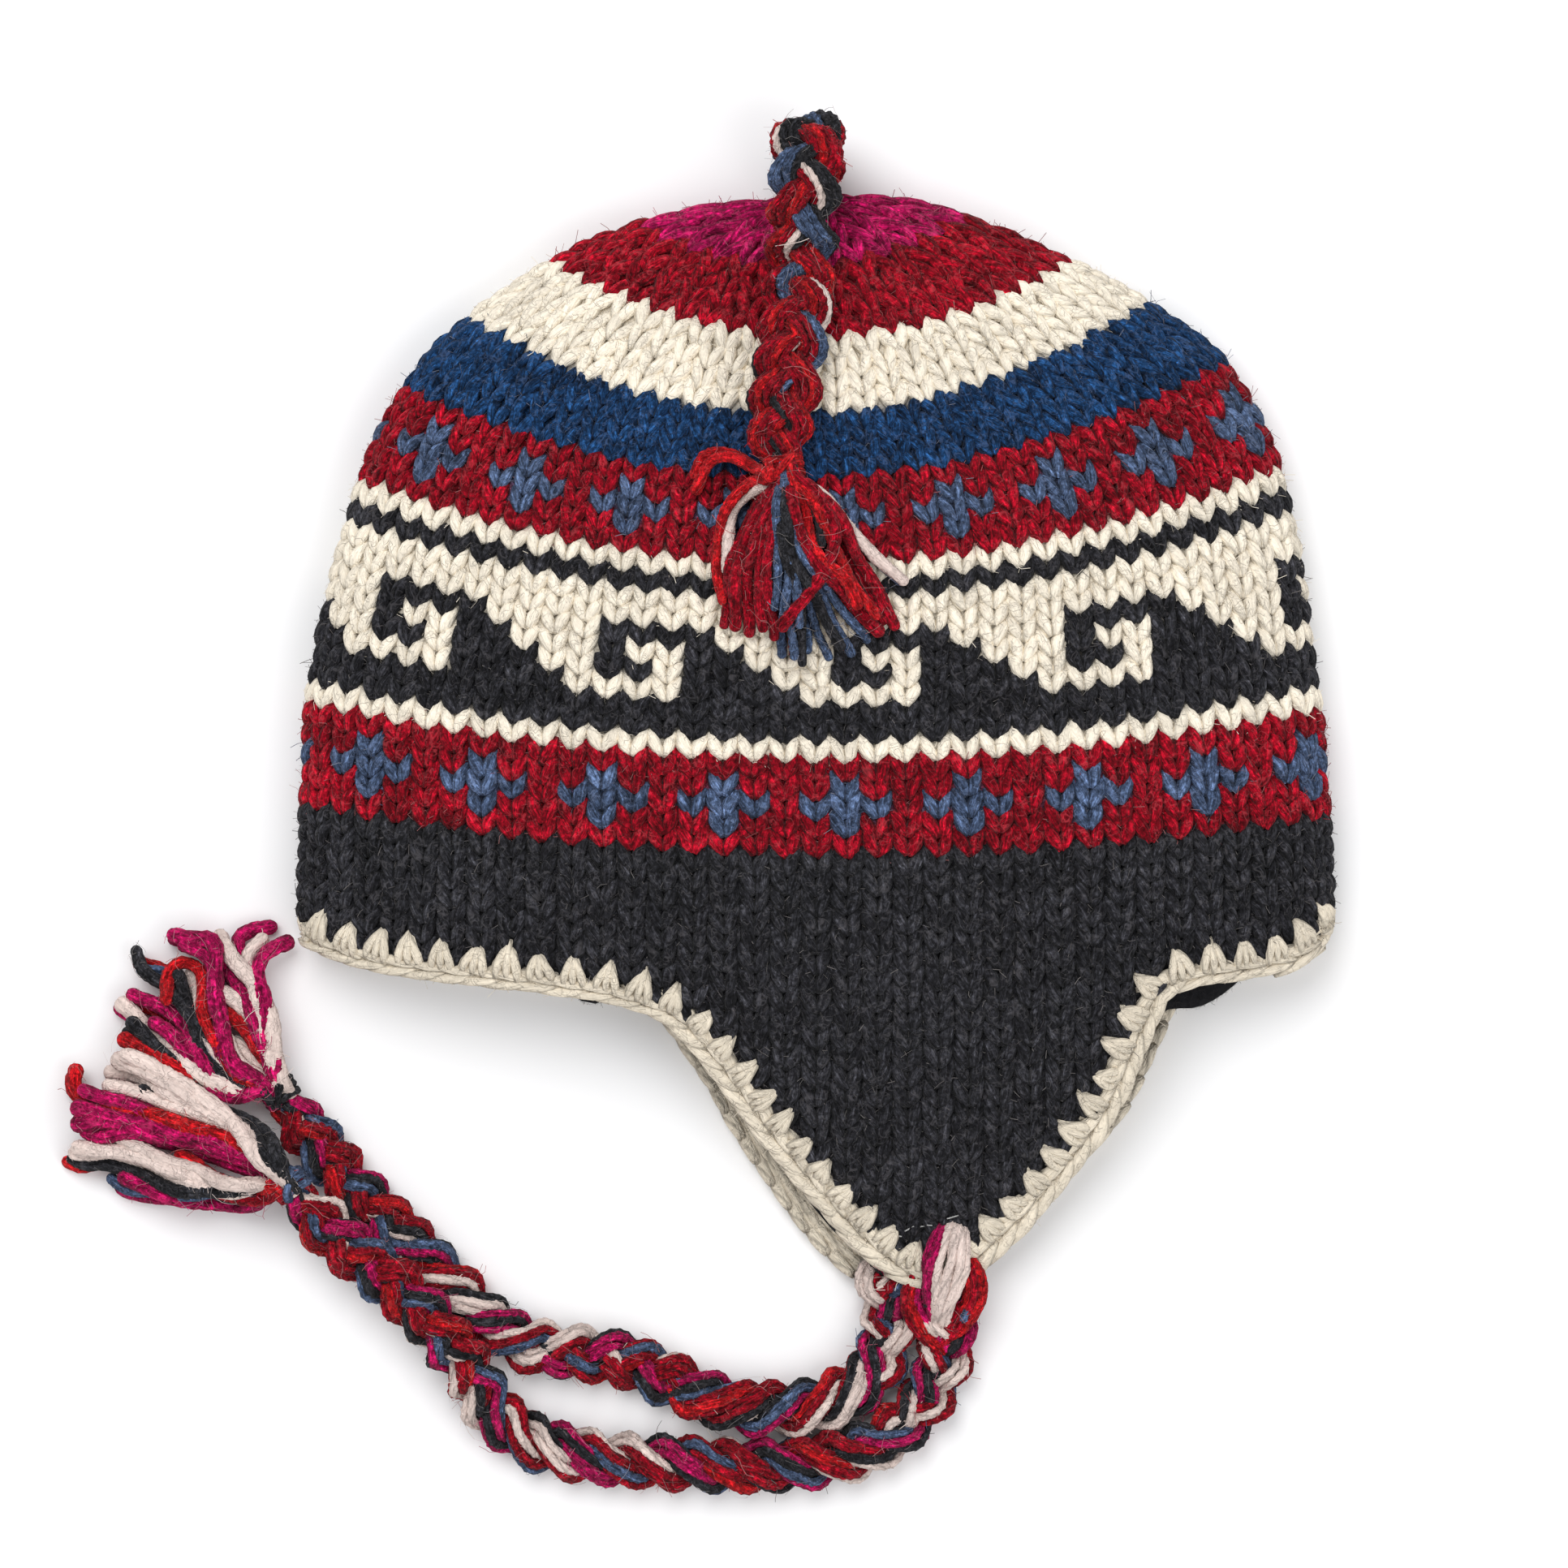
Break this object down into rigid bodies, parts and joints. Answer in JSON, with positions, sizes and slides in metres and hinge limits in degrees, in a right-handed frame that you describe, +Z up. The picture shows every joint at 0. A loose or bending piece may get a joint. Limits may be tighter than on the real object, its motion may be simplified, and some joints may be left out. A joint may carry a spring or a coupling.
{
  "type": "knitted earflap beanie",
  "caption": "Chunky knitted earflap beanie lying on its side: hollow, with a fleece band inside, crocheted edging, a folded braided topknot and braided ties that end in tassels.",
  "frame": {"origin": "centre of the bottom of the hat's own box as it lies on its side, on the surface it rests on; the braids and tassels are left out of that box", "axes": "+Z up from the surface, +Y from the hem to the crown, +X along the hem to the side that the upper ear flap is nearer to"},
  "size_m": [0.3296, 0.3577, 0.0581],
  "materials": {
    "patterned_knit": "chunky stockinette wool in charcoal, red, cream, blue and magenta bands, matt and fuzzy",
    "black_fleece": "short matt pile",
    "cream_edging": "crocheted cream wool, matt",
    "mixed_yarn": "red, magenta, cream, denim blue and charcoal wool strands, matt and fuzzy",
    "binding_yarn": "wound wool yarn, matt"
  },
  "bodies": {
    "root": {"knit_body": "patterned_knit", "fleece_lining": "black_fleece", "crochet_edging": "cream_edging", "topknot_braid": "mixed_yarn", "topknot_binding": "binding_yarn", "topknot_tassel": "mixed_yarn", "upper_tie_braid": "mixed_yarn", "upper_tie_binding": "binding_yarn", "upper_tie_tassel": "mixed_yarn", "lower_tie_braid": "mixed_yarn", "lower_tie_binding": "binding_yarn", "lower_tie_tassel": "mixed_yarn"}
  },
  "joints": []
}
